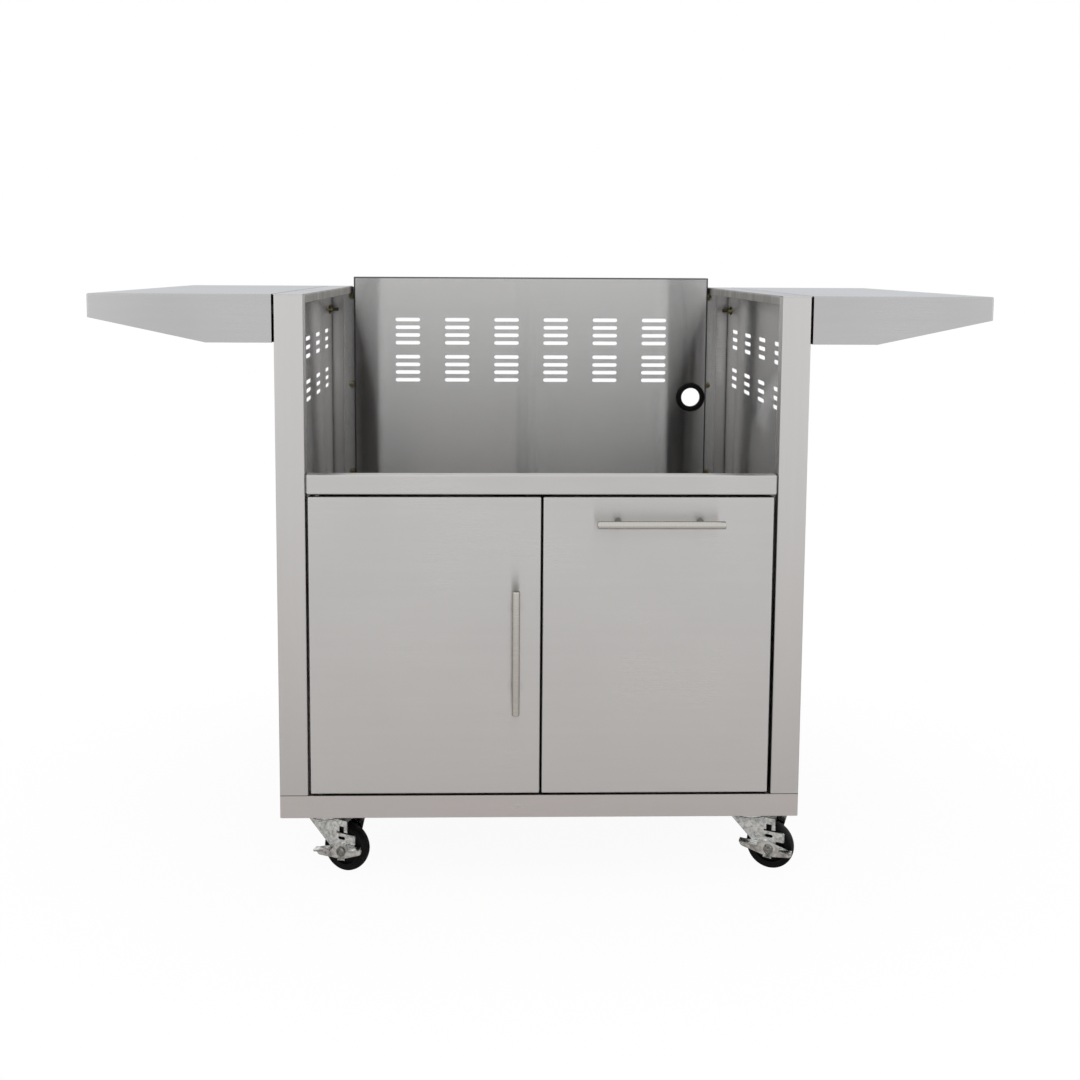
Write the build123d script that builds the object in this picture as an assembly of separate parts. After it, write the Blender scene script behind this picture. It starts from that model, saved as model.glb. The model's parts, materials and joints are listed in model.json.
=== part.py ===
from build123d import *
import os

# Stainless grill cart: a folded-sheet cabinet on swivel casters, open at the top for a drop-in grill,
# with a hinged door, a pull-out gas bottle drawer and two folding side shelves.
# Millimetres. +X is the user's right, +Y the back, +Z up. The origin is on the floor under the middle.

# Cabinet shell
body_width = 822.0
body_depth = 600.0
caster_height = 105.0
base_height = 36.0
post_height = 791.0
sheet = 1.5
fold_radius = 2.5
post_width = 45.0
post_return = 20.0
rail_lip = 14.0
base_flange = 25.0
skin_inset = 4.0
seat_gap = 0.3

# Vent slots
slot_length = 50.0
slot_height = 7.5
slot_pitch = 15.65
side_vent_drop = 87.5
side_vent_column_pitch = 113.0
side_vent_columns = 5
side_vent_rows = 3
side_vent_group_gap = 46.2
back_vent_drop = 66.8
back_vent_column_pitch = 100.0
back_vent_columns = 6
back_vent_rows = 4
back_vent_group_gap = 28.6

# Back panel and its grommet
panel_side_gap = 7.0
panel_depth = 38.5
panel_rise = 19.0
panel_flange = 26.0
panel_screw_inset = 9.0
panel_screw_drop = 21.0
panel_screw_lift = 42.0
panel_screw_rows = 5
rear_post_lap = 15.0
screw_head_diameter = 12.0
screw_head_height = 2.5
screw_diameter = 4.0
screw_clearance = 0.2
grommet_inset = 32.0
grommet_drop = 223.6
grommet_bore = 38.0
grommet_neck = 46.0
grommet_flange = 58.0
grommet_lip = 4.0
grommet_chamfer = 2.0
grommet_clearance = 0.1

# Crossbar, mullion, door and drawer fronts
cavity_height = 277.5
crossbar_height = 31.0
crossbar_ledge = 16.0
crossbar_shelf = 46.0
crossbar_end_gap = 3.0
front_gap_top = 3.5
front_gap_bottom = 3.0
door_gap_side = 3.5
drawer_gap_side = 5.0
front_gap_centre = 3.0
front_thickness = 20.0
mullion_width = 30.0
mullion_leg = 18.0
mullion_setback = 26.0

# Bar handles
handle_diameter = 12.0
handle_length = 196.0
handle_spacing = 128.0
handle_standoff = 30.0
handle_chamfer = 1.0
standoff_diameter = 9.0
door_handle_inset = 39.0
drawer_handle_drop = 37.0

# Door pivots and catch
pivot_from_edge = 14.0
pivot_from_front = 9.0
pivot_diameter = 8.0
pivot_depth = 22.0
pivot_clearance = 0.05
bush_diameter = 11.0
bush_flange_diameter = 15.0
bush_flange_thickness = 2.0
bush_stand = 1.0
catch_width = 40.0
catch_height = 12.0
catch_depth = 13.0
catch_inset = 32.0
catch_ear = 8.0
catch_ear_thickness = 3.0
catch_pole_width = 3.0
catch_pole_setback = 1.0
strike_thickness = 1.2

# Telescopic slides, gas bottle tray and gussets
slide_height = 45.0
slide_width = 12.7
slide_gauge = 1.2
slide_clearance = 0.4
slide_length = 500.0
slide_member_length = 480.0
slide_lip = 9.8
slide_middle_web = 4.0
slide_inner_lip = 5.5
slide_lift = 9.0
slide_setback = 24.0
slide_from_centre = 17.0
slide_from_post = 4.0
stand_foot = 26.0
stand_setback = 90.0
stand_length = 420.0
tray_depth = 500.0
tray_wall = 50.0
tray_drop = 2.0
bottle_hole_diameter = 222.0
bottle_rim_height = 8.0
gusset_height = 330.0
gusset_depth = 230.0
gusset_nose = 12.0
gusset_heel = 52.0
gusset_lift = 16.0

# Side shelves and their hinges
shelf_length = 278.0
shelf_gap = 3.0
shelf_inner_height = 74.0
shelf_outer_height = 36.0
shelf_flat = 100.0
shelf_inner_flange = 15.0
hinge_from_inner_edge = 10.0
hinge_from_bottom_edge = 7.0
hinge_pin_diameter = 8.0
hinge_pin_tip = 5.0
hinge_clearance = 0.05
bracket_gauge = 3.0
bracket_setback = 18.0
bracket_room = 1.5
bracket_ear_radius = 6.5
bracket_foot_depth = 34.0
bracket_top_drop = 32.0
bracket_bolt_inset = 28.0
bracket_bolt_drop = 47.0
bracket_bolt_diameter = 6.0
bracket_bolt_head_diameter = 12.0
bracket_bolt_head_height = 3.0
bracket_nut_across_flats = 10.0
bracket_nut_flange_diameter = 18.0
bracket_nut_flange_gauge = 1.5
bracket_nut_height = 5.0
bracket_bolt_tip = 3.0
bolt_clearance = 0.2

# Casters
caster_inset_x = 66.5
caster_inset_y = 54.5
caster_trail = 37.0
caster_rest_turn = -24.0
wheel_diameter = 76.0
wheel_width = 24.0
wheel_hub_diameter = 26.0
wheel_side_play = 0.5
wheel_hub_stand = 2.4
wheel_web_width = 13.0
wheel_rim = 13.0
wheel_crown = 2.5
wheel_bead_width = 3.0
wheel_bead_height = 1.2
axle_diameter = 8.0
axle_clearance = 0.05
fork_gauge = 2.2
fork_crown_radius = 31.0
fork_crown_gauge = 3.0
fork_leg_back = 33.0
fork_leg_front = 47.0
fork_eye_radius = 12.0
fork_notch_width = 8.0
fork_notch_height = 11.0
fork_slit_drop = 19.0
fork_slit_height = 2.0
fork_slit_back = 8.0
fork_tab_height = 16.0
fork_tab_reach = 15.0
fork_tab_corner = 3.0
fork_slot_length = 12.0
fork_slot_height = 4.5
plate_length = 92.0
plate_width = 64.0
plate_gauge = 3.0
plate_corner = 8.0
plate_bolt_spacing_x = 70.0
plate_bolt_spacing_y = 44.0
plate_bolt_diameter = 8.0
plate_bolt_head_across_flats = 13.0
plate_bolt_head_height = 5.0
plate_nut_height = 6.0
race_inner_radius = 19.0
race_outer_radius = 27.0
race_height = 4.7
race_gap = 0.3
cup_inner_radius = 22.0
cup_outer_radius = 30.0
cup_height = 8.0
kingpin_diameter = 10.0
kingpin_head_diameter = 18.0
kingpin_head_height = 4.0
kingpin_clearance = 0.05
axle_head_across_flats = 13.0
axle_head_height = 5.0
axle_rivet_diameter = 15.0
axle_rivet_height = 3.0
axle_rivet_chamfer = 1.0
lever_gauge = 2.2
lever_gap = 0.4
lever_hub_radius = 13.0
lever_long_arm = 40.0
lever_short_arm = 31.0
lever_tip_radius = 6.5
lever_pad_depth = 11.0
lever_long_pad = 30.0
lever_short_pad = 20.0
lever_pad_corner = 4.0
lever_lip_width = 14.0
lever_lip_depth = 4.0
lever_rest_turns = {"front_left": -11.0, "front_right": 4.0}

# Levels and faces that follow from the sizes above
half_width = body_width / 2
handle_reach = handle_standoff + handle_diameter / 2
front = (handle_reach - body_depth) / 2
back = front + body_depth
middle = (front + back) / 2
base_top = caster_height + base_height
floor_top = caster_height + sheet
top = base_top + post_height
under_rail = top - sheet
opening_half = half_width - post_width
skin_outer = half_width - sheet
skin_inner = skin_outer - sheet
crossbar_top = top - cavity_height
crossbar_bottom = crossbar_top - crossbar_height
front_top = crossbar_bottom - front_gap_top
front_bottom = base_top + front_gap_bottom
front_back = front + front_thickness
panel_back = back - sheet
panel_front = panel_back - panel_depth
axle_height = wheel_diameter / 2
plate_bottom = caster_height - plate_gauge


def block(x, y, z):
    """Box between two limits along each axis."""
    corner = (min(x), min(y), min(z))
    size = (abs(x[1] - x[0]), abs(y[1] - y[0]), abs(z[1] - z[0]))
    return Pos(*corner) * Box(*size, align=(Align.MIN, Align.MIN, Align.MIN))


def rod(start, end, diameter):
    """Round bar between two points."""
    axis = Vector(*end) - Vector(*start)
    face = Plane(origin=start, z_dir=axis) * Circle(diameter / 2)
    return extrude(face, axis.length)


def hexagon(start, end, across_flats):
    """Hexagonal bolt head or nut between two points."""
    axis = Vector(*end) - Vector(*start)
    face = Plane(origin=start, z_dir=axis) * RegularPolygon(across_flats / 2, 6, major_radius=False)
    return extrude(face, axis.length)


def turned(axis, profile):
    """Solid of revolution about an axis; profile points are (radius, distance along the axis)."""
    upright = abs(axis.direction.Z) > abs(axis.direction.X + axis.direction.Y)
    side = Vector(1, 0, 0) if upright else Vector(0, 0, 1)
    half_plane = Plane(origin=axis.position, x_dir=side, z_dir=side.cross(axis.direction))
    return revolve(half_plane * make_face(Polyline(*profile, close=True)), axis)


def folded(points, length, place):
    """Sheet folded along a path of its outer face, with the metal on the path's left side."""
    path = FilletPolyline(*points, radius=fold_radius)
    return place.location * make_brake_formed(sheet, length, path, side=Side.LEFT)


def mirrored(shape):
    """The same piece on the other side of the cart."""
    return mirror(shape, about=Plane.YZ)


def write(name, shape):
    export_step(shape, f"parts/{name}.step")


def group(solids):
    """Separate solids kept together in one node."""
    return Compound(children=list(solids))


# Places shared by pieces that meet
door_left = -opening_half + door_gap_side
door_right = -front_gap_centre / 2
drawer_left = front_gap_centre / 2
drawer_right = opening_half - drawer_gap_side
pivot_x = door_left + pivot_from_edge
pivot_y = front + pivot_from_front
shelf_inner = half_width + shelf_gap
shelf_bottom = top - shelf_inner_height
hinge_x = shelf_inner + hinge_from_inner_edge
hinge_z = shelf_bottom + hinge_from_bottom_edge
bracket_bolt_z = top - bracket_bolt_drop
bracket_seat = half_width + bracket_gauge - seat_gap
caster_x = half_width - caster_inset_x
caster_sites = {
    "front_left": (-caster_x, front + caster_inset_y),
    "front_right": (caster_x, front + caster_inset_y),
    "rear_left": (-caster_x, back - caster_inset_y),
    "rear_right": (caster_x, back - caster_inset_y),
}
slide_bottom = base_top + slide_lift
slide_y = front + slide_setback
left_slide_x = slide_from_centre
right_slide_x = opening_half - slide_from_post
tray_left = left_slide_x + slide_width
tray_right = right_slide_x - slide_width
tray_bottom = slide_bottom - tray_drop
tray_middle = ((tray_left + tray_right) / 2, front_back + tray_depth / 2)
panel_half = opening_half - panel_side_gap
grommet_x = panel_half - grommet_inset
grommet_z = top - grommet_drop
panel_screw_x = panel_half + panel_screw_inset
panel_screw_span = top - panel_screw_drop - base_top - panel_screw_lift
panel_screw_pitch = panel_screw_span / (panel_screw_rows - 1)
panel_screw_levels = [top - panel_screw_drop - row * panel_screw_pitch for row in range(panel_screw_rows)]


def plate_bolt_places():
    """Middle of every bolt hole in the caster plates."""
    return [
        (site_x + offset.position.X, site_y + offset.position.Y)
        for site_x, site_y in caster_sites.values()
        for offset in GridLocations(plate_bolt_spacing_x, plate_bolt_spacing_y, 2, 2)
    ]


def bracket_bolt_places():
    """Distance from front to back of the two shelf bracket bolts on one side."""
    return (front + bracket_bolt_inset, back - bracket_bolt_inset)


def vent_bank(columns, column_pitch, rows, group_gap):
    """Two groups of slot rows hanging down from the first row, as a flat sketch."""
    drop = (rows - 1) * slot_pitch
    sketch = Sketch()
    for first_row in (0, -drop - group_gap):
        for place in GridLocations(column_pitch, slot_pitch, columns, rows):
            sketch += Pos(0, first_row - drop / 2) * place * SlotOverall(slot_length, slot_height)
    return sketch


def base_pan():
    """Folded tray with an in-turned flange all round its top edge, on which the posts stand."""
    shell = block((-half_width, half_width), (front, back), (caster_height, base_top))
    shell = fillet(shell.edges().filter_by(Axis.Z), fold_radius)
    room_x = half_width - sheet
    room = block((-room_x, room_x), (front + sheet, back - sheet), (floor_top, base_top - sheet))
    mouth_x = half_width - base_flange
    mouth = block((-mouth_x, mouth_x), (front + base_flange, back - base_flange), (floor_top, base_top))
    bush_hole = rod((pivot_x, pivot_y, floor_top), (pivot_x, pivot_y, base_top), bush_diameter)
    bolt_hole = plate_bolt_diameter + 2 * bolt_clearance
    holes = [rod((x, y, caster_height), (x, y, floor_top), bolt_hole) for x, y in plate_bolt_places()]
    return shell - room - mouth - bush_hole - holes


def left_side_skin():
    """Flat vented sheet behind the outer legs of the two left posts."""
    depth = (front + skin_inset, back - skin_inset)
    skin = block((-skin_outer, -skin_inner), depth, (base_top, under_rail))
    bank = vent_bank(side_vent_columns, side_vent_column_pitch, side_vent_rows, side_vent_group_gap)
    wall = Plane(origin=(-skin_outer, middle, top - side_vent_drop), x_dir=(0, 1, 0), z_dir=(1, 0, 0))
    skin -= extrude(wall * bank, sheet)
    for y in bracket_bolt_places():
        across = ((-skin_outer, y, bracket_bolt_z), (-skin_inner, y, bracket_bolt_z))
        skin -= rod(*across, bracket_bolt_diameter + 2 * bolt_clearance)
    return skin


def bracket_bolt_hole(y):
    """Cutter for a shelf bracket bolt through a left post's outer leg."""
    across = ((-half_width, y, bracket_bolt_z), (-skin_outer, y, bracket_bolt_z))
    return rod(*across, bracket_bolt_diameter + 2 * bolt_clearance)


def left_front_post():
    """Channel folded round the outer leg, the visible face and a short return."""
    outline = [
        (-half_width, front + post_width),
        (-half_width, front),
        (-opening_half, front),
        (-opening_half, front + post_return),
    ]
    post = folded(outline, under_rail - base_top, Plane.XY.offset(base_top))
    return post - bracket_bolt_hole(bracket_bolt_places()[0])


def left_rear_post():
    """Angle folded from the outer leg and the flange that carries the back panel."""
    inner = rear_post_lap - panel_screw_x
    outline = [(inner, back), (-half_width, back), (-half_width, back - post_width)]
    post = folded(outline, under_rail - base_top, Plane.XY.offset(base_top))
    post -= bracket_bolt_hole(bracket_bolt_places()[1])
    for z in panel_screw_levels:
        along = ((-panel_screw_x, back - sheet, z), (-panel_screw_x, back, z))
        post -= rod(*along, screw_diameter + 2 * screw_clearance)
    return post


def left_top_rail():
    """Flat rail on the posts and the skin, with its inner edge turned down between front and back."""
    outline = [(-opening_half, top - rail_lip), (-opening_half, top), (-half_width, top)]
    lip_start = front + post_return + seat_gap
    lip_end = panel_back - sheet - seat_gap
    along = Plane(origin=(0, lip_end, 0), x_dir=(1, 0, 0), z_dir=(0, -1, 0))
    rail = folded(outline, lip_end - lip_start, along)
    for ends in ((front, lip_start), (lip_end, back)):
        rail += block((-half_width, -opening_half), ends, (under_rail, top))
    return rail


def back_panel():
    """Pan with a closed top and side flanges, vent slots and the grommet's hole."""
    panel_top = top + panel_rise
    pan = block((-panel_half, panel_half), (panel_front, panel_back), (base_top, panel_top))
    front_edges = pan.edges().filter_by(Axis.Z).group_by(Axis.Y)[0]
    top_edge = pan.edges().group_by(Axis.Z)[-1].filter_by(Axis.X).group_by(Axis.Y)[0]
    pan = fillet(front_edges + top_edge, fold_radius)
    room = panel_half - sheet
    pan -= block((-room, room), (panel_front + sheet, panel_back), (base_top, panel_top - sheet))
    flange_top = under_rail - seat_gap
    for sign in (-1, 1):
        limits = (sign * room, sign * (panel_half + panel_flange))
        pan += block(limits, (panel_back - sheet, panel_back), (base_top, flange_top))
        x = sign * panel_screw_x
        for z in panel_screw_levels:
            along = ((x, panel_back - sheet, z), (x, panel_back, z))
            pan -= rod(*along, screw_diameter + 2 * screw_clearance)
    bank = vent_bank(back_vent_columns, back_vent_column_pitch, back_vent_rows, back_vent_group_gap)
    wall = Plane(origin=(0, panel_front + sheet, top - back_vent_drop), x_dir=(1, 0, 0), z_dir=(0, -1, 0))
    pan -= extrude(wall * bank, sheet)
    along = ((grommet_x, panel_front, grommet_z), (grommet_x, panel_front + sheet, grommet_z))
    return pan - rod(*along, grommet_neck + 2 * grommet_clearance)


def hose_grommet():
    """Rubber ring whose two flanges grip the edge of the panel's hole."""
    bore, neck, flange = grommet_bore / 2, grommet_neck / 2, grommet_flange / 2
    profile = [
        (bore, -grommet_lip),
        (flange - grommet_chamfer, -grommet_lip),
        (flange, -grommet_lip + grommet_chamfer),
        (flange, 0),
        (neck, 0),
        (neck, sheet),
        (flange, sheet),
        (flange, sheet + grommet_lip - grommet_chamfer),
        (flange - grommet_chamfer, sheet + grommet_lip),
        (bore, sheet + grommet_lip),
    ]
    return turned(Axis((grommet_x, panel_front, grommet_z), (0, 1, 0)), profile)


def back_panel_screws():
    """Pan-head screws through the panel's flanges into the rear posts."""
    screws = []
    for x in (-panel_screw_x, panel_screw_x):
        for z in panel_screw_levels:
            seat = (x, panel_back - sheet, z)
            head = rod((x, panel_back - sheet - screw_head_height, z), seat, screw_head_diameter)
            head = fillet(head.edges().group_by(Axis.Y)[0], screw_head_height / 2)
            screws.append(head + rod(seat, (x, back, z), screw_diameter))
    return group(screws)


def front_crossbar():
    """Channel between the posts, with a narrow ledge above, a wide one below and closed ends."""
    end = opening_half - crossbar_end_gap
    outline = [
        (front + crossbar_ledge, crossbar_top),
        (front, crossbar_top),
        (front, crossbar_bottom),
        (front + crossbar_shelf, crossbar_bottom),
    ]
    bar = folded(outline, 2 * end, Plane.YZ.offset(-end))
    for sign in (-1, 1):
        limits = (sign * (end - sheet), sign * opening_half)
        bar += block(limits, (front + skin_inset, front + crossbar_ledge),
                     (crossbar_bottom + sheet, crossbar_top - sheet))
    seat = ((pivot_x, pivot_y, crossbar_bottom), (pivot_x, pivot_y, crossbar_bottom + sheet))
    return bar - rod(*seat, bush_diameter)


def centre_mullion():
    """Channel behind the gap of the fronts, from the base floor up to the crossbar."""
    side = mullion_width / 2
    y = front + mullion_setback
    outline = [(-side, y + mullion_leg), (-side, y), (side, y), (side, y + mullion_leg)]
    return folded(outline, crossbar_bottom - floor_top, Plane.XY.offset(floor_top))


def hinge_bush(seat_low, seat_high, flange_sign):
    """Flanged bush in a hole of the sheet; its flange lies on the door's side."""
    bore = pivot_diameter / 2 + pivot_clearance
    if flange_sign < 0:
        flange = (seat_low - bush_flange_thickness, seat_low)
        body = (seat_low, seat_high + bush_stand)
    else:
        flange = (seat_high, seat_high + bush_flange_thickness)
        body = (seat_low - bush_stand, seat_high)
    bush = rod((pivot_x, pivot_y, flange[0]), (pivot_x, pivot_y, flange[1]), bush_flange_diameter)
    bush += rod((pivot_x, pivot_y, body[0]), (pivot_x, pivot_y, body[1]), bush_diameter)
    low, high = min(flange[0], body[0]), max(flange[1], body[1])
    return bush - rod((pivot_x, pivot_y, low), (pivot_x, pivot_y, high), 2 * bore)


def door_hinge_bushes():
    upper = hinge_bush(crossbar_bottom, crossbar_bottom + sheet, -1)
    lower = hinge_bush(base_top - sheet, base_top, 1)
    return group([upper, lower])


def door_hinge_pins():
    """Pins fixed in the door's top and bottom edges, standing out into the bushes."""
    upper = (front_top - pivot_depth, crossbar_bottom + sheet + bush_stand)
    lower = (base_top - sheet - bush_stand, front_bottom + pivot_depth)
    pins = []
    for low, high in (upper, lower):
        pins.append(rod((pivot_x, pivot_y, low), (pivot_x, pivot_y, high), pivot_diameter))
    return group(pins)


def front_skin(left, right):
    """Front pan of the door or the drawer, with rounded folds and an open back."""
    pan = block((left, right), (front, front_back), (front_bottom, front_top))
    folds = pan.edges().group_by(Axis.Y)[0] + pan.edges().filter_by(Axis.Y)
    pan = fillet(folds, fold_radius)
    room = block((left + sheet, right - sheet), (front + sheet, front_back),
                 (front_bottom + sheet, front_top - sheet))
    return pan - room


def front_liner(left, right):
    """Flat sheet that closes the back of a front pan, flush with the pan's edges."""
    return block((left + sheet, right - sheet), (front_back - sheet, front_back),
                 (front_bottom + sheet, front_top - sheet))


def door_skin():
    skin = front_skin(door_left, door_right)
    for low, high in ((front_top - sheet, front_top), (front_bottom, front_bottom + sheet)):
        skin -= rod((pivot_x, pivot_y, low), (pivot_x, pivot_y, high), pivot_diameter)
    return skin


def bar_handle(centre, direction):
    """Round bar with chamfered ends and its two standoffs, coped to the bar."""
    axis = Vector(*direction)
    middle_point = Vector(centre[0], front - handle_standoff, centre[1])
    ends = [middle_point + axis * (sign * handle_length / 2) for sign in (-1, 1)]
    bar = rod(tuple(ends[0]), tuple(ends[1]), handle_diameter)
    full_bar = bar
    bar = chamfer(bar.edges().filter_by(GeomType.CIRCLE), handle_chamfer)
    standoffs = []
    for sign in (-1, 1):
        foot = middle_point + axis * (sign * handle_spacing / 2)
        post = rod((foot.X, front - handle_standoff, foot.Z), (foot.X, front, foot.Z), standoff_diameter)
        standoffs.append(post - full_bar)
    return bar, group(standoffs)


def door_catch():
    """Magnet housing hung by two ears under the crossbar's wide ledge, recessed between its poles."""
    right = door_right - catch_inset
    left = right - catch_width
    y = front_back + strike_thickness + seat_gap
    low = crossbar_bottom - catch_height
    housing = block((left, right), (y, y + catch_depth), (low, crossbar_bottom))
    recess = (low + catch_pole_width, crossbar_bottom - catch_pole_width)
    housing -= block((left + catch_pole_width, right - catch_pole_width), (y, y + catch_pole_setback), recess)
    ears = block((left - catch_ear, right + catch_ear), (y + catch_pole_width, y + catch_depth),
                 (crossbar_bottom - catch_ear_thickness, crossbar_bottom))
    return housing + fillet(ears.edges().filter_by(Axis.Z), catch_ear_thickness)


def door_strike():
    right = door_right - catch_inset
    high = front_top - sheet
    return block((right - catch_width, right), (front_back, front_back + strike_thickness),
                 (high - catch_height, high))


def slide_section(web, lip_end, lift):
    """Channel of one slide member: the web's place, the lips' free edge, and its lift inside the slide."""
    low, high = lift, slide_height - lift
    inner_low, inner_high = low + slide_gauge, high - slide_gauge
    far_web = web + slide_gauge if lip_end > web else web - slide_gauge
    outline = Polyline(
        (web, low),
        (lip_end, low),
        (lip_end, inner_low),
        (far_web, inner_low),
        (far_web, inner_high),
        (lip_end, inner_high),
        (lip_end, high),
        (web, high),
        close=True,
    )
    return make_face(outline)


def slide_member(section, x, sign, start, length):
    """Slide member along Y from a section drawn outwards from its fixed side."""
    place = Plane(origin=(x, start + length, slide_bottom), x_dir=(1, 0, 0), z_dir=(0, -1, 0))
    return extrude(place * (section if sign > 0 else mirror(section, about=Plane.YZ)), length)


def slides():
    """Three nested members of each slide; the left slide is fixed on its left, the right on its right."""
    middle_lift = slide_gauge + slide_clearance
    inner_lift = 2 * middle_lift
    outer = slide_section(0, slide_gauge + slide_lip, 0)
    middle_section = slide_section(slide_middle_web, slide_gauge + slide_lip, middle_lift)
    inner = slide_section(slide_width, slide_width - slide_gauge - slide_inner_lip, inner_lift)
    pieces = {}
    for name, x, sign in (("left", left_slide_x, 1), ("right", right_slide_x, -1)):
        pieces[f"slide_outer_{name}"] = slide_member(outer, x, sign, slide_y, slide_length)
        pieces[f"slide_middle_{name}"] = slide_member(middle_section, x, sign, slide_y, slide_member_length)
        pieces[f"slide_inner_{name}"] = slide_member(inner, x, sign, slide_y, slide_member_length)
    return pieces


def slide_stands():
    """Two folded angles on the base floor that carry the slides' outer members."""
    start = front + stand_setback
    high = slide_bottom + slide_height
    along = Plane(origin=(0, start + stand_length, 0), x_dir=(1, 0, 0), z_dir=(0, -1, 0))
    left = [(left_slide_x - stand_foot, floor_top), (left_slide_x, floor_top), (left_slide_x, high)]
    right = [(right_slide_x, high), (right_slide_x, floor_top), (right_slide_x + stand_foot, floor_top)]
    return group([folded(left, stand_length, along), folded(right, stand_length, along)])


def tank_tray():
    """Open tray behind the drawer front, with a rimmed round hole for the bottle's foot ring."""
    limits_y = (front_back, front_back + tray_depth)
    tray = block((tray_left, tray_right), limits_y, (tray_bottom, tray_bottom + tray_wall))
    tray = fillet(tray.edges().group_by(Axis.Z)[0].filter_by(Axis.Y), fold_radius)
    floor_level = tray_bottom + sheet
    tray -= block((tray_left + sheet, tray_right - sheet), (limits_y[0] + sheet, limits_y[1] - sheet),
                  (floor_level, tray_bottom + tray_wall))
    x, y = tray_middle
    rim_top = floor_level + bottle_rim_height
    tray += rod((x, y, tray_bottom), (x, y, rim_top), bottle_hole_diameter + 2 * sheet)
    return tray - rod((x, y, tray_bottom), (x, y, rim_top), bottle_hole_diameter)


def drawer_gussets():
    """Two triangular plates that brace the tall front against the tray's side walls."""
    low = tray_bottom + gusset_lift
    wall_top = tray_bottom + tray_wall
    outline = Polyline(
        (front_back + sheet, low),
        (front_back + gusset_depth, low),
        (front_back + gusset_depth, low + gusset_heel),
        (front_back + gusset_nose, low + gusset_height),
        (front_back, low + gusset_height),
        (front_back, wall_top),
        (front_back + sheet, wall_top),
        close=True,
    )
    plates = []
    for x in (tray_left + sheet, tray_right - 2 * sheet):
        plates.append(extrude(Plane.YZ.offset(x) * make_face(outline), sheet))
    return group(plates)


def right_shelf():
    """Pan open below, with tapered front and rear aprons and an inner apron cut away round the brackets."""
    outer = shelf_inner + shelf_length
    outline = Polyline(
        (shelf_inner, shelf_bottom),
        (shelf_inner + shelf_flat, shelf_bottom),
        (outer, top - shelf_outer_height),
        (outer, top),
        (shelf_inner, top),
        close=True,
    )
    along = Plane(origin=(0, back, 0), x_dir=(1, 0, 0), z_dir=(0, -1, 0))
    pan = extrude(along * make_face(outline), body_depth)
    upper = pan.edges().group_by(Axis.Z)[-1]
    folds = upper.filter_by(Axis.X) + upper.filter_by(Axis.Y).sort_by(Axis.X)[-1:]
    corners = pan.edges().filter_by(Axis.Z).group_by(Axis.X)[-1]
    pan = fillet(folds + corners, fold_radius)
    pan -= block((shelf_inner, outer - sheet), (front + sheet, back - sheet), (shelf_bottom, top - sheet))
    wall_x = (shelf_inner, shelf_inner + sheet)
    wall = block(wall_x, (front + sheet, back - sheet), (shelf_bottom, top - sheet))
    for face, inward in ((front + sheet, 1), (back - sheet, -1)):
        near = face + inward * (bracket_setback - bracket_room)
        far = face + inward * (bracket_setback + bracket_foot_depth + bracket_room)
        wall -= block(wall_x, (near, far), (shelf_bottom, top - sheet - shelf_inner_flange))
    return pan + wall


def right_shelf_pins():
    """Studs on the inner faces of the two aprons, through the brackets' ears."""
    pins = []
    length = bracket_setback + bracket_gauge + hinge_pin_tip
    for face, inward in ((front + sheet, 1), (back - sheet, -1)):
        end = (hinge_x, face + inward * length, hinge_z)
        pins.append(rod((hinge_x, face, hinge_z), end, hinge_pin_diameter))
    return group(pins)


def right_shelf_brackets():
    """Angles bolted to the posts' outer legs; each ear stands a little way inside a shelf apron."""
    brackets = []
    high = top - bracket_top_drop
    low = hinge_z - bracket_ear_radius
    for face, inward, bolt_y in zip((front + sheet, back - sheet), (1, -1), bracket_bolt_places()):
        ear_near = face + inward * bracket_setback
        ear_far = ear_near + inward * bracket_gauge
        foot_far = ear_near + inward * bracket_foot_depth
        foot = block((half_width, bracket_seat), (ear_near, foot_far), (hinge_z, high))
        ear = block((half_width, hinge_x), (ear_near, ear_far), (low, hinge_z + bracket_ear_radius))
        ear += rod((hinge_x, ear_near, hinge_z), (hinge_x, ear_far, hinge_z), 2 * bracket_ear_radius)
        bracket = foot + ear
        bracket -= rod((hinge_x, ear_near, hinge_z), (hinge_x, ear_far, hinge_z),
                       hinge_pin_diameter + 2 * hinge_clearance)
        across = ((half_width, bolt_y, bracket_bolt_z), (bracket_seat, bolt_y, bracket_bolt_z))
        brackets.append(bracket - rod(*across, bracket_bolt_diameter + 2 * bolt_clearance))
    return brackets


def shelf_bracket_bolts():
    """Bolts through bracket, post and skin, with their flanged nuts inside the cart."""
    head_end = bracket_seat + bracket_bolt_head_height
    nut_end = skin_inner - bracket_nut_height
    bolts = []
    for y in bracket_bolt_places():
        z = bracket_bolt_z
        head = rod((bracket_seat, y, z), (head_end, y, z), bracket_bolt_head_diameter)
        nut = hexagon((nut_end, y, z), (skin_inner, y, z), bracket_nut_across_flats)
        nut += rod((skin_inner - bracket_nut_flange_gauge, y, z), (skin_inner, y, z),
                   bracket_nut_flange_diameter)
        shank = rod((nut_end - bracket_bolt_tip, y, z), (bracket_seat, y, z), bracket_bolt_diameter)
        bolts.append(head + nut + shank)
    return group(bolts + [mirrored(bolt) for bolt in bolts])


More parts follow.
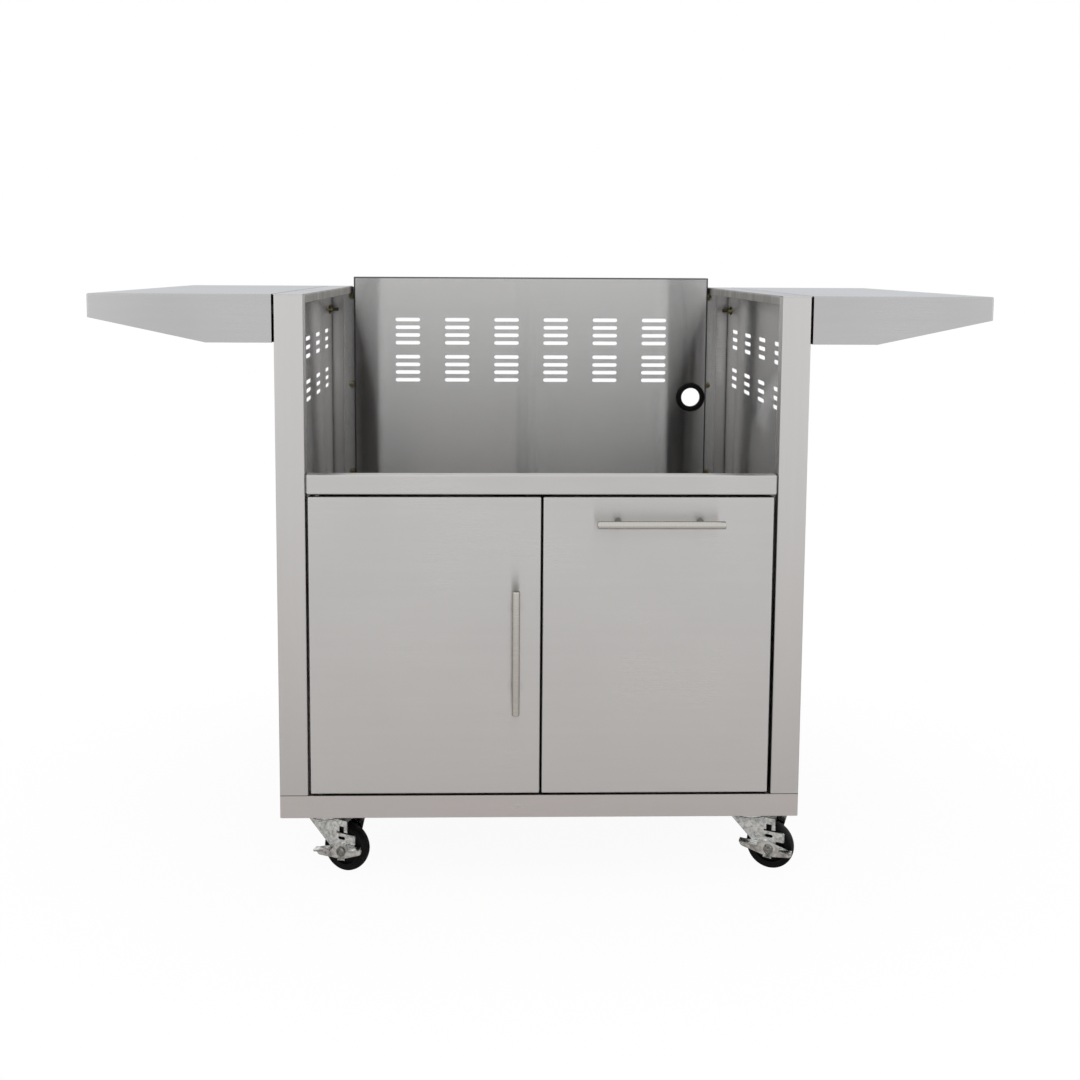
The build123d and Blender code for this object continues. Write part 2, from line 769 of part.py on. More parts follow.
def caster_plate(site):
    """Bolted top plate with the upper ball race pressed into its underside."""
    outline = RectangleRounded(plate_length, plate_width, plate_corner)
    plate = extrude(Plane.XY.offset(plate_bottom) * outline, plate_gauge)
    plate += extrude(Plane.XY.offset(plate_bottom - race_height) * Circle(race_outer_radius), race_height)
    plate -= extrude(Plane.XY.offset(plate_bottom - race_height) * Circle(race_inner_radius), race_height)
    king_hole = kingpin_diameter + 2 * kingpin_clearance
    plate -= rod((0, 0, plate_bottom), (0, 0, caster_height), king_hole)
    for place in GridLocations(plate_bolt_spacing_x, plate_bolt_spacing_y, 2, 2):
        x, y = place.position.X, place.position.Y
        plate -= rod((x, y, plate_bottom), (x, y, caster_height), plate_bolt_diameter + 2 * bolt_clearance)
    return Pos(*site, 0) * plate


def caster_bolts():
    """Hexagon bolts up through the caster plates and the base floor, with nuts on the floor."""
    bolts = []
    for x, y in plate_bolt_places():
        head = hexagon((x, y, plate_bottom - plate_bolt_head_height), (x, y, plate_bottom),
                       plate_bolt_head_across_flats)
        nut = hexagon((x, y, floor_top), (x, y, floor_top + plate_nut_height), plate_bolt_head_across_flats)
        shank = rod((x, y, plate_bottom), (x, y, floor_top + plate_nut_height), plate_bolt_diameter)
        bolts.append(head + nut + shank)
    return group(bolts)


cup_top = plate_bottom - race_height - race_gap
crown_top = cup_top - cup_height
crown_bottom = crown_top - fork_crown_gauge
wheel_hub_length = wheel_width + 2 * wheel_hub_stand
leg_inner = wheel_hub_length / 2 + wheel_side_play
leg_outer = leg_inner + fork_gauge
lever_inner = leg_outer + lever_gap
lever_outer = lever_inner + lever_gauge


def caster_kingpins():
    """Rivets that hold the forks under the plates and let them turn."""
    pins = []
    head_top = crown_bottom - race_gap
    for x, y in caster_sites.values():
        head = rod((x, y, crown_bottom - kingpin_head_height), (x, y, head_top), kingpin_head_diameter)
        pins.append(head + rod((x, y, head_top), (x, y, caster_height), kingpin_diameter))
    return group(pins)


def along_axle(near, far, diameter):
    """Round bar on the axle's line, between two distances from the wheel's middle."""
    return rod((caster_trail, near, axle_height), (caster_trail, far, axle_height), diameter)


def plain_leg(front_edge):
    """Side view of a stamped leg, from its wide shoulder down to the round eye."""
    shoulder = Line((-fork_leg_back, crown_top), (front_edge, crown_top))
    eye = CenterArc((caster_trail, axle_height), fork_eye_radius, 0, 360)
    return make_hull((shoulder + eye).edges())


def brake_leg():
    """Side view of the narrower leg on the lever's side, with a brake tab below a T-shaped cut."""
    leg = plain_leg(fork_leg_front)
    slit_z = crown_bottom - fork_slit_drop
    tab_end = fork_leg_front + fork_tab_reach
    tab_start = caster_trail - fork_eye_radius
    tab_z = slit_z - fork_tab_height / 2
    tab = RectangleRounded(tab_end - tab_start, fork_tab_height, fork_tab_corner)
    leg += Pos((tab_end + tab_start) / 2, tab_z) * tab
    slit_start = caster_trail - fork_slit_back
    slit = Rectangle(tab_end - slit_start, fork_slit_height, align=(Align.MIN, Align.MIN))
    notch = Rectangle(fork_notch_width, fork_notch_height, align=(Align.CENTER, Align.MIN))
    lanced = SlotOverall(fork_slot_length, fork_slot_height)
    leg -= Pos(slit_start, slit_z) * slit + Pos(caster_trail, slit_z) * notch
    return leg - Pos(caster_trail, tab_z) * lanced


def caster_fork():
    """Stamped yoke: a crown with the lower race cup and two legs that taper to the axle."""
    crown = Circle(fork_crown_radius)
    crown_middle = (fork_leg_front - fork_leg_back) / 2
    crown += Pos(crown_middle, 0) * Rectangle(fork_leg_front + fork_leg_back, 2 * leg_outer)
    crown -= Circle(kingpin_diameter / 2 + kingpin_clearance)
    cup = Circle(cup_outer_radius) - Circle(cup_inner_radius)
    fork = extrude(Plane.XY.offset(crown_bottom) * crown, fork_crown_gauge)
    fork += extrude(Plane.XY.offset(crown_top) * cup, cup_height)
    far_leg = plain_leg(fork_leg_front + fork_tab_reach)
    for start, outline in ((-leg_outer, brake_leg()), (leg_inner, far_leg)):
        leg_plane = Plane(origin=(0, start + fork_gauge, 0), x_dir=(1, 0, 0), z_dir=(0, -1, 0))
        fork += extrude(leg_plane * outline, fork_gauge)
    return fork - along_axle(-leg_outer, leg_outer, axle_diameter + 2 * axle_clearance)


def caster_wheel():
    """Solid wheel with a crowned tread, a bead round each side, a dished web and a hub bored for the axle."""
    radius = wheel_diameter / 2
    tread, hub, web = wheel_width / 2, wheel_hub_length / 2, wheel_web_width / 2
    hub_radius = wheel_hub_diameter / 2
    rim_radius = radius - wheel_rim
    bore = axle_diameter / 2 + axle_clearance
    half = [
        (bore, hub),
        (hub_radius, hub),
        (hub_radius, web),
        (rim_radius, web),
        (rim_radius, tread),
        (rim_radius + wheel_bead_width, tread),
        (rim_radius + wheel_bead_width, tread - wheel_bead_height),
        (radius - wheel_crown, tread - wheel_bead_height),
    ]
    shoulder = half[-1]
    crown = ThreePointArc(shoulder, (radius, 0), (shoulder[0], -shoulder[1]))
    lower = [(r, -y) for r, y in reversed(half)]
    section = make_face(Polyline(*half) + crown + Polyline(*lower) + Line(lower[-1], half[0]))
    place = Plane(origin=(caster_trail, 0, axle_height), x_dir=(0, 0, 1), z_dir=(1, 0, 0))
    return revolve(place * section, Axis((caster_trail, 0, axle_height), (0, 1, 0)))


def caster_axle(braked):
    """Bolt through the fork and the wheel; on a braked caster it is riveted over in front of the lever."""
    head_end = (caster_trail, leg_outer + axle_head_height, axle_height)
    axle = hexagon((caster_trail, leg_outer, axle_height), head_end, axle_head_across_flats)
    if braked:
        seat = -lever_outer - lever_gap
        rivet = along_axle(seat - axle_rivet_height, seat, axle_rivet_diameter)
        axle += chamfer(rivet.edges().group_by(Axis.Y)[0], axle_rivet_chamfer)
    else:
        seat = -leg_outer
        nut_end = (caster_trail, seat - axle_head_height, axle_height)
        axle += hexagon(nut_end, (caster_trail, seat, axle_height), axle_head_across_flats)
    return axle + along_axle(seat, leg_outer, axle_diameter)


def brake_lever(turn):
    """Rocking lever on the axle, whose edges turn out as a foot pad on each arm and a lip below the hub."""
    arms = make_face(Circle(lever_hub_radius).edges())
    for reach in (-lever_long_arm, lever_short_arm):
        hub = CenterArc((0, 0), lever_hub_radius, 0, 360)
        tip = CenterArc((reach, 0), lever_tip_radius, 0, 360)
        arms += make_hull((hub + tip).edges())
    place = Plane(origin=(caster_trail, -lever_inner, axle_height), x_dir=(1, 0, 0), z_dir=(0, -1, 0))
    lever = extrude(place * arms, lever_gauge)
    pad_z = (axle_height + lever_tip_radius - lever_gauge, axle_height + lever_tip_radius)
    pad_y = (-lever_outer - lever_pad_depth, -lever_inner)
    long_end = caster_trail - lever_long_arm - lever_tip_radius
    short_end = caster_trail + lever_short_arm + lever_tip_radius
    for limits in ((long_end, long_end + lever_long_pad), (short_end - lever_short_pad, short_end)):
        pad = block(limits, pad_y, pad_z)
        lever += fillet(pad.edges().filter_by(Axis.Z).group_by(Axis.Y)[0], lever_pad_corner)
    lip_x = (caster_trail - lever_lip_width / 2, caster_trail + lever_lip_width / 2)
    lip_z = (axle_height - lever_hub_radius, axle_height - lever_hub_radius + lever_gauge)
    lever += block(lip_x, (-lever_outer - lever_lip_depth, -lever_inner), lip_z)
    lever -= along_axle(-lever_outer, -lever_inner, axle_diameter + 2 * axle_clearance)
    return lever.rotate(Axis((caster_trail, 0, axle_height), (0, 1, 0)), turn)


os.makedirs("parts", exist_ok=True)

write("base_pan", base_pan())
for piece, left_shape in (
    ("side_skin", left_side_skin()),
    ("front_post", left_front_post()),
    ("rear_post", left_rear_post()),
    ("top_rail", left_top_rail()),
):
    write(f"{piece}_left", left_shape)
    write(f"{piece}_right", mirrored(left_shape))

write("back_panel", back_panel())
write("hose_grommet", hose_grommet())
write("back_panel_screws", back_panel_screws())
write("front_crossbar", front_crossbar())
write("centre_mullion", centre_mullion())
write("door_hinge_bushes", door_hinge_bushes())
write("door_catch", door_catch())

door_handle_centre = (door_right - door_handle_inset, (front_bottom + front_top) / 2)
door_bar, door_standoffs = bar_handle(door_handle_centre, (0, 0, 1))
write("door_skin", door_skin())
write("door_liner", front_liner(door_left, door_right))
write("door_handle_bar", door_bar)
write("door_handle_standoffs", door_standoffs)
write("door_hinge_pins", door_hinge_pins())
write("door_strike", door_strike())

drawer_centre = (drawer_left + drawer_right) / 2
drawer_bar, drawer_standoffs = bar_handle((drawer_centre, front_top - drawer_handle_drop), (1, 0, 0))
write("drawer_skin", front_skin(drawer_left, drawer_right))
write("drawer_liner", front_liner(drawer_left, drawer_right))
write("drawer_handle_bar", drawer_bar)
write("drawer_handle_standoffs", drawer_standoffs)
write("tank_tray", tank_tray())
write("drawer_gussets", drawer_gussets())
write("slide_stands", slide_stands())
for name, shape in slides().items():
    write(name, shape)

shelf = right_shelf()
pins = right_shelf_pins()
brackets = right_shelf_brackets()
write("shelf_right", shelf)
write("shelf_left", mirrored(shelf))
write("shelf_pins_right", pins)
write("shelf_pins_left", mirrored(pins))
write("shelf_brackets_right", group(brackets))
write("shelf_brackets_left", group([mirrored(bracket) for bracket in brackets]))
write("shelf_bracket_bolts", shelf_bracket_bolts())

write("caster_plates", group([caster_plate(site) for site in caster_sites.values()]))
write("caster_bolts", caster_bolts())
write("caster_kingpins", caster_kingpins())
fork = caster_fork()
wheel = caster_wheel()
for name, site in caster_sites.items():
    braked = name in lever_rest_turns
    place = Pos(*site, 0) * Rot(0, 0, caster_rest_turn)
    write(f"caster_fork_{name}", place * fork)
    write(f"caster_wheel_{name}", place * wheel)
    write(f"caster_axle_{name}", place * caster_axle(braked))
    if braked:
        write(f"brake_lever_{name}", place * brake_lever(lever_rest_turns[name]))
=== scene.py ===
"""Looks of the grill cart: brushed stainless sheets, satin bars, zinc-plated casters and moulded rubber."""

import json

import bpy
import numpy as np
from mathutils import Matrix, Vector


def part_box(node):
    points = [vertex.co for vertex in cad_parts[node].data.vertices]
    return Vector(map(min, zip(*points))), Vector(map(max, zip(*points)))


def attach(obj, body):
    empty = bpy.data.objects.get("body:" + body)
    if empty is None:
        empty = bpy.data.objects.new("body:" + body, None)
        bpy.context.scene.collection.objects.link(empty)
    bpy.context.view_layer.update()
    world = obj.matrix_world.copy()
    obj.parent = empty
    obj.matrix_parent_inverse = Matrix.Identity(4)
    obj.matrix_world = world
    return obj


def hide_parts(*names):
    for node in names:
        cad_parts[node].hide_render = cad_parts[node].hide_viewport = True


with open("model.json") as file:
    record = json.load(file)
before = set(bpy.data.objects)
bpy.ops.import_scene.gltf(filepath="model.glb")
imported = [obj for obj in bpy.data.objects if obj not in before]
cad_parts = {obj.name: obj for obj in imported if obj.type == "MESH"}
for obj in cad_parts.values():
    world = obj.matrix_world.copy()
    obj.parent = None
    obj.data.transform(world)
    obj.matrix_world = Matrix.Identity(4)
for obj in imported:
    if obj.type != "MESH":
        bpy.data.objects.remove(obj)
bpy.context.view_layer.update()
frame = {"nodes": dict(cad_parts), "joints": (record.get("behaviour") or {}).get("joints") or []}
nodes = frame["nodes"]
joints = {joint["name"]: joint for joint in frame["joints"]}

AXES = {"x": (1.0, 0.0, 0.0), "y": (0.0, 1.0, 0.0), "z": (0.0, 0.0, 1.0)}
LEFT, RIGHT, FRONT = (-1.0, 0.0, 0.0), (1.0, 0.0, 0.0), (0.0, -1.0, 0.0)
BACK, UP = (0.0, 1.0, 0.0), (0.0, 0.0, 1.0)
WHITE = (1.0, 1.0, 1.0, 1.0)


def toned(tone, share):
    """A colour made darker or brighter by a share."""
    return tuple(share * part for part in tone)


class Finish:
    """A material in the making: its Principled shader and the nodes that feed it."""

    def __init__(self, name):
        self.material = bpy.data.materials.new(name)
        self.material.use_nodes = True
        self.tree = self.material.node_tree
        self.shader = self.tree.nodes["Principled BSDF"]
        self.place = self.node("ShaderNodeTexCoord").outputs["Object"]

    def node(self, kind, **settings):
        made = self.tree.nodes.new(kind)
        for name, value in settings.items():
            setattr(made, name, value)
        return made

    def join(self, socket, value):
        """Links a socket to another one, or writes a plain value on it."""
        if isinstance(value, bpy.types.NodeSocket):
            self.tree.links.new(value, socket)
        else:
            socket.default_value = value

    def set(self, **values):
        """Sets the shader's own sockets; Base_Color stands for "Base Color"."""
        for name, value in values.items():
            self.join(self.shader.inputs[name.replace("_", " ")], value)

    def math(self, operation, first, second=0.0):
        made = self.node("ShaderNodeMath", operation=operation)
        self.join(made.inputs[0], first)
        self.join(made.inputs[1], second)
        return made.outputs[0]

    def vector(self, operation, first, second=(0.0, 0.0, 0.0)):
        made = self.node("ShaderNodeVectorMath", operation=operation)
        self.join(made.inputs[0], first)
        self.join(made.inputs[1], second)
        return made.outputs["Value" if operation == "DOT_PRODUCT" else "Vector"]

    def turned(self, vector, kind, source, target):
        """A vector or a normal carried from one space to another."""
        made = self.node("ShaderNodeVectorTransform", vector_type=kind, convert_from=source,
                         convert_to=target)
        self.join(made.inputs[0], vector)
        return made.outputs[0]

    def along(self, axis):
        """How far a point lies along one of the object's own axes."""
        return self.vector("DOT_PRODUCT", self.place, AXES[axis])

    def stretched(self, scale):
        """The object's own coordinates, scaled along each axis."""
        made = self.node("ShaderNodeMapping")
        self.join(made.inputs["Vector"], self.place)
        made.inputs["Scale"].default_value = scale
        return made.outputs["Vector"]

    def noise(self, vector, detail=2.0, roughness=0.5):
        made = self.node("ShaderNodeTexNoise")
        self.join(made.inputs["Vector"], vector)
        made.inputs["Scale"].default_value = 1.0
        made.inputs["Detail"].default_value = detail
        made.inputs["Roughness"].default_value = roughness
        return made.outputs["Fac"]

    def speckle(self, waves, detail=2.0, roughness=0.5):
        """Noise that looks alike in every direction, with so many waves per metre."""
        return self.noise(self.stretched((waves, waves, waves)), detail, roughness)

    def spread(self, value, low, high, to_low, to_high):
        """Maps low..high of a value to to_low..to_high, clamped at both ends."""
        made = self.node("ShaderNodeMapRange")
        for name, number in (("Value", value), ("From Min", low), ("From Max", high),
                             ("To Min", to_low), ("To Max", to_high)):
            self.join(made.inputs[name], number)
        return made.outputs["Result"]

    def mix(self, share, low, high):
        """Blends two colours or vectors by share."""
        made = self.node("ShaderNodeMix", data_type="RGBA")
        for name, value in (("Factor", share), ("A", low), ("B", high)):
            socket = [s for s in made.inputs if s.name == name and s.enabled][0]
            if not isinstance(value, bpy.types.NodeSocket) and name != "Factor":
                value = (*value[:3], 1.0)
            self.join(socket, value)
        return [s for s in made.outputs if s.enabled][0]

    def bump(self, height, distance, strength, normal):
        made = self.node("ShaderNodeBump")
        self.join(made.inputs["Height"], height)
        made.inputs["Distance"].default_value = distance
        made.inputs["Strength"].default_value = strength
        self.join(made.inputs["Normal"], normal)
        return made.outputs["Normal"]

    def soft_edges(self, radius):
        """Normals rounded over the sharp folds and cut edges."""
        made = self.node("ShaderNodeBevel", samples=6)
        made.inputs["Radius"].default_value = radius
        return made.outputs["Normal"]

    def near_edge(self, radius):
        """0 on flat metal, 1 at folds and cut edges, where the rounded normal leans off the face's own."""
        face = self.node("ShaderNodeNewGeometry").outputs["Normal"]
        return self.spread(self.vector("DOT_PRODUCT", self.soft_edges(radius), face), 0.99, 0.85, 0.0, 1.0)

    def open_air(self, reach):
        """0 in narrow gaps and tight corners, where faces within reach shut out the room, 1 on open faces."""
        made = self.node("ShaderNodeAmbientOcclusion", samples=4)
        made.inputs["Distance"].default_value = reach
        return self.spread(made.outputs["AO"], 0.3, 0.8, 0.0, 1.0)


class Brushwork(Finish):
    """A finish brushed along one axis; faces that the axis meets head-on are brushed along end_grain."""

    def __init__(self, name, grain, end_grain):
        super().__init__(name)
        self.brush_axes = AXES[grain], AXES[end_grain]
        normal = self.node("ShaderNodeNewGeometry").outputs["Normal"]
        self.facing = self.turned(normal, "NORMAL", "WORLD", "OBJECT")
        head_on = self.math("ABSOLUTE", self.vector("DOT_PRODUCT", self.facing, AXES[grain]))
        self.on_end = self.math("GREATER_THAN", head_on, 0.8)
        self.lay = self.turned(self.mix(self.on_end, *self.brush_axes), "VECTOR", "OBJECT", "WORLD")

    def marks(self, waves_along, waves_across, roughness):
        """Noise drawn out along the grain, with so many waves per metre along it and across it."""
        scales = [[waves_along if part else waves_across for part in axis] for axis in self.brush_axes]
        stretched = self.vector("MULTIPLY", self.place, self.mix(self.on_end, *scales))
        return self.noise(stretched, detail=3.0, roughness=roughness)

    def looking(self, side, least):
        """1 on faces that look along a side, by at least the cosine least, and 0 on others."""
        return self.math("GREATER_THAN", self.vector("DOT_PRODUCT", self.facing, side), least)

    def rim_fold_shade(self, half_width, top):
        """Share of painted dark reflection on the front of a pan's folds: its sides, half_width off the
        middle, and its top.
        """
        side_fold, top_fold, blur, slack = 0.0028, 0.002, 0.001, 0.0005
        off_middle = self.math("ABSOLUTE", self.along("x"))
        sides = self.spread(off_middle, half_width - side_fold - blur, half_width - side_fold, 0.0, 0.85)
        upper = self.spread(self.along("z"), top - top_fold - blur, top - top_fold, 0.0, 0.8)
        on_pan = self.math("LESS_THAN", off_middle, half_width + slack)
        in_front = self.math("MULTIPLY", self.looking(FRONT, 0.3), on_pan)
        return self.math("MULTIPLY", self.math("MAXIMUM", sides, upper), in_front)

    def foot_shadow_line(self, height):
        """Share of painted shadow on the lowest millimetre of a sheet that stands on another one at height.
        """
        full, clear = 0.0008, 0.0016
        return self.spread(self.along("z"), height + full, height + clear, 0.9, 0.0)

    def fanned(self, normal, fan):
        """Tips the walls of hair-fine scratches across the grain, each by its own share of fan."""
        hairs = self.node("ShaderNodeTexWhiteNoise")
        self.join(hairs.inputs["Vector"], self.place)
        lean = self.math("MULTIPLY", self.math("SUBTRACT", hairs.outputs["Value"], 0.5), fan)
        sideways = self.vector("CROSS_PRODUCT", normal, self.lay)
        return self.vector("NORMALIZE", self.vector("ADD", normal, self.vector("MULTIPLY", sideways, lean)))


def brushed_sheet(name, grain, end_grain, tone=(0.6, 0.592, 0.585), roughness=0.3, smear=1.0, fan=0.0,
                  grazing=WHITE, toned_sides=(), side_tone=(0.1, 0.097, 0.094), gap_shade=True,
                  seam_height=None, rim=None):
    """Brushed stainless: fine scratches and broad bands run along the grain. Reflections smear across the
    scratches, and fan widens that smear and leaves reflections sharp along the grain. Faces that look along
    one of the given sides take a tone of their own; where that tone is darker, it is painted shade. Painted
    shade also darkens narrow gaps, the foot that stands on another sheet at seam_height and the folds of a
    rim, given by its half width and its height."""
    steel = Brushwork(name, grain, end_grain)
    scratches = steel.marks(14.0, 1700.0, 0.6)
    bands = steel.marks(1.6, 75.0, 0.55)
    clouds = steel.speckle(5.0)
    colour = steel.mix(steel.spread(bands, 0.3, 0.7, 0.0, 1.0), toned(tone, 0.99), toned(tone, 1.01))
    colour = steel.mix(steel.spread(scratches, 0.25, 0.75, 0.0, 0.5), colour, toned(tone, 0.97))
    worn = steel.math("ADD", steel.spread(scratches, 0.3, 0.7, -0.02, 0.02),
                      steel.spread(clouds, 0.35, 0.65, roughness - 0.02, roughness + 0.02))

    # Painted shade: faces that look along the given sides take the side tone, which is darker on the panel,
    # posts and rail.
    banded_side_tone = steel.mix(steel.spread(bands, 0.35, 0.65, 0.0, 1.0), toned(side_tone, 0.8),
                       toned(side_tone, 1.2))
    for side in toned_sides:
        on_toned_side = steel.looking(side, 0.5)
        colour = steel.mix(on_toned_side, colour, banded_side_tone)
        worn = steel.math("ADD", worn, steel.math("MULTIPLY", on_toned_side, 0.15))

    shade = toned(tone, 0.04)
    # Painted dark reflection: dark lines on the front of the rim's side and top folds.
    if rim is not None:
        colour = steel.mix(steel.rim_fold_shade(*rim), colour, shade)
    # Painted shadow: a dark line along the foot of the sheet where it stands on another one.
    if seam_height is not None:
        colour = steel.mix(steel.foot_shadow_line(seam_height), colour, shade)
    # Painted shade: the colour darkens in narrow gaps and tight corners, where faces nearby shut out the
    # room's light.
    if gap_shade:
        colour = steel.mix(steel.open_air(0.012), shade, colour)

    relief = steel.bump(scratches, 0.00003, 0.05, steel.soft_edges(0.0007))
    if fan:
        relief = steel.fanned(relief, fan)
    steel.set(Base_Color=colour, Metallic=1.0, Roughness=worn, Anisotropic=smear, Anisotropic_Rotation=0.25,
              Specular_Tint=grazing, Tangent=steel.lay, Normal=relief)
    return steel.material


def satin_rod(name, axis):
    """Turned bar with a fine satin finish: short scratches round the bar, a little cloudiness."""
    bar = Finish(name)
    rings = bar.noise(bar.stretched([900.0 if part else 60.0 for part in AXES[axis]]), detail=3.0)
    clouds = bar.speckle(30.0)
    tone = bar.mix(bar.spread(rings, 0.3, 0.7, 0.0, 1.0), (0.5, 0.485, 0.455), (0.57, 0.555, 0.52))
    bar.set(Base_Color=tone, Metallic=1.0, Roughness=bar.spread(clouds, 0.3, 0.7, 0.1, 0.15),
            Specular_Tint=(0.35, 0.35, 0.35, 1.0),
            Normal=bar.bump(rings, 0.00002, 0.4, bar.soft_edges(0.0006)))
    return bar.material


def zinc_plate(name, dark, bright, patches=190.0, dent=0.0012, edge_darkening=0.85):
    """Bright zinc over pressed steel: mottled grey, small dents, shiny and dull patches, dark edges."""
    zinc = Finish(name)
    mottle = zinc.speckle(patches, detail=4.0, roughness=0.6)
    dents = zinc.speckle(70.0)
    tone = zinc.mix(zinc.spread(mottle, 0.36, 0.6, 0.0, 1.0), dark, bright)
    # Darker near folds and cut edges, by the given share.
    tone = zinc.mix(zinc.math("MULTIPLY", zinc.near_edge(0.0018), edge_darkening), tone, (0.05, 0.05, 0.05))
    zinc.set(Base_Color=tone, Metallic=1.0, Roughness=zinc.spread(mottle, 0.35, 0.65, 0.32, 0.16),
             Normal=zinc.bump(dents, dent, 0.5, zinc.soft_edges(0.0006)))
    return zinc.material


def yellow_zinc_plate(name):
    """Yellow passivated zinc: dark olive to dull gold, with a faint drift and nearly black edges."""
    zinc = Finish(name)
    drift = zinc.speckle(260.0)
    grain = zinc.speckle(1500.0)
    tone = zinc.mix(zinc.spread(drift, 0.3, 0.7, 0.0, 1.0), (0.12, 0.11, 0.05), (0.46, 0.41, 0.23))
    tone = zinc.mix(zinc.math("MULTIPLY", zinc.near_edge(0.0012), 0.85), tone, (0.012, 0.012, 0.008))
    zinc.set(Base_Color=tone, Metallic=1.0, Roughness=zinc.spread(grain, 0.3, 0.7, 0.24, 0.38),
             Normal=zinc.bump(grain, 0.00004, 0.5, zinc.soft_edges(0.0004)))
    return zinc.material


def moulded_black(name, tone, roughness, pebble):
    """Black rubber or nylon as it leaves the mould: fine pebble, dusty pale patches."""
    mould = Finish(name)
    grain = mould.speckle(pebble, detail=3.0)
    dust = mould.speckle(55.0, detail=4.0, roughness=0.6)
    mould.set(Base_Color=mould.mix(mould.spread(dust, 0.5, 0.75, 0.0, 0.7), tone, toned(tone, 2.2)),
              Roughness=mould.spread(dust, 0.3, 0.7, roughness - 0.05, roughness + 0.1),
              Specular_IOR_Level=0.12,
              Normal=mould.bump(grain, 0.00008, 0.5, mould.soft_edges(0.0005)))
    return mould.material


POST_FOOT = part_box("base_pan")[1][2]
PANEL_FLANGE = 0.026
panel_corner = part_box("back_panel")[1]
panel_rim = (panel_corner[0] - PANEL_FLANGE, panel_corner[2])

steel_across = brushed_sheet("steel_brushed_across", "x", "z")
# Painted reflection: the base's tone is pinker than the other sheets', for the warm surroundings it reflects.
steel_base = brushed_sheet("steel_brushed_base", "x", "z", tone=(0.597, 0.566, 0.558))
# Painted shade: the panel's side and top flanges take a dark tone, and its rim folds dark lines, for the
# shade and dark reflections they show.
steel_panel = brushed_sheet("steel_brushed_panel", "x", "z", tone=(0.565, 0.562, 0.558), roughness=0.12,
                            fan=0.72, toned_sides=(LEFT, RIGHT, UP), side_tone=(0.24, 0.236, 0.232),
                            rim=panel_rim)
# Painted shade: the posts' backs take a darker tone for the shade in their channels, and a dark line marks
# the shadow at their foot.
steel_upright = brushed_sheet("steel_brushed_upright", "z", "x", tone=(0.582, 0.572, 0.564), roughness=0.42,
                              smear=0.2, toned_sides=(BACK,), side_tone=(0.38, 0.373, 0.365),
                              seam_height=POST_FOOT)
# Painted shade: the mullion and shelf brackets are near-black because they show only in the shade of narrow
# gaps; their backs take a paler steel tone.
steel_shade_dark = brushed_sheet("steel_painted_shade_dark", "z", "x", tone=(0.07, 0.068, 0.066), roughness=0.5, smear=0.2,
                             toned_sides=(BACK,), side_tone=(0.42, 0.412, 0.405))
steel_shelf = brushed_sheet("steel_brushed_shelf", "x", "z", tone=(0.54, 0.536, 0.54),
                            grazing=(0.9, 0.955, 1.0, 1.0))
steel_front_to_back = brushed_sheet("steel_brushed_front_to_back", "y", "z", tone=(0.572, 0.564, 0.558),
                                    roughness=0.2, fan=0.8)
# Painted shade: the rail's side faces, its lip, take a darker beige tone.
steel_rail = brushed_sheet("steel_brushed_rail", "z", "y", grazing=(0.65, 0.675, 0.71, 1.0),
                           toned_sides=(LEFT, RIGHT), side_tone=(0.345, 0.333, 0.315), gap_shade=False)
bar_upright = satin_rod("satin_bar_upright", "z")
bar_across = satin_rod("satin_bar_across", "x")
bar_outward = satin_rod("satin_standoff", "y")
caster_zinc = zinc_plate("bright_zinc_pressings", (0.4, 0.42, 0.42), (0.8, 0.83, 0.82))
lever_zinc = zinc_plate("worn_zinc_levers", (0.3, 0.3, 0.29), (0.76, 0.76, 0.74), patches=75.0)
axle_zinc = zinc_plate("dull_zinc_axles", (0.16, 0.16, 0.15), (0.36, 0.36, 0.34))
runner_zinc = zinc_plate("bright_zinc_runners", (0.56, 0.57, 0.57), (0.66, 0.67, 0.66), patches=60.0,
                         dent=0.0002, edge_darkening=0.3)
fastener_zinc = yellow_zinc_plate("yellow_zinc_fasteners")
grommet_rubber = moulded_black("grommet_rubber", (0.004, 0.004, 0.004), roughness=0.55, pebble=1400.0)
tyre_rubber = moulded_black("tyre_rubber", (0.004, 0.004, 0.004), roughness=0.5, pebble=900.0)
bush_nylon = moulded_black("bush_nylon", (0.02, 0.02, 0.02), roughness=0.4, pebble=1100.0)

FINISHES = {
    "base_pan": steel_base, "back_panel": steel_panel, "front_crossbar": steel_across,
    "door_skin": steel_across, "door_liner": steel_across, "drawer_skin": steel_across,
    "drawer_liner": steel_across, "drawer_gussets": steel_front_to_back, "tank_tray": steel_front_to_back,
    "front_post": steel_upright, "rear_post": steel_across, "centre_mullion": steel_shade_dark,
    "side_skin": steel_front_to_back, "top_rail": steel_rail, "slide_stands": steel_front_to_back,
    "shelf_left": steel_shelf, "shelf_right": steel_shelf, "shelf_brackets": steel_shade_dark,
    "door_handle_bar": bar_upright, "drawer_handle_bar": bar_across,
    "door_handle_standoffs": bar_outward, "drawer_handle_standoffs": bar_outward,
    "back_panel_screws": fastener_zinc, "shelf_bracket_bolts": fastener_zinc,
    "hose_grommet": grommet_rubber, "door_hinge_bushes": bush_nylon, "door_catch": bush_nylon,
    "door_strike": runner_zinc, "door_hinge_pins": runner_zinc, "shelf_pins": runner_zinc,
    "slide_": runner_zinc, "caster_wheel": tyre_rubber, "caster_axle": axle_zinc, "caster_": caster_zinc,
    "brake_lever": lever_zinc,
}


def finish_of(node_name):
    """The finish whose key is the longest start of the node's name."""
    keys = [key for key in FINISHES if node_name.startswith(key)]
    return FINISHES[max(keys, key=len)]


for node_name, node in nodes.items():
    node.data.materials.clear()
    node.data.materials.append(finish_of(node_name))


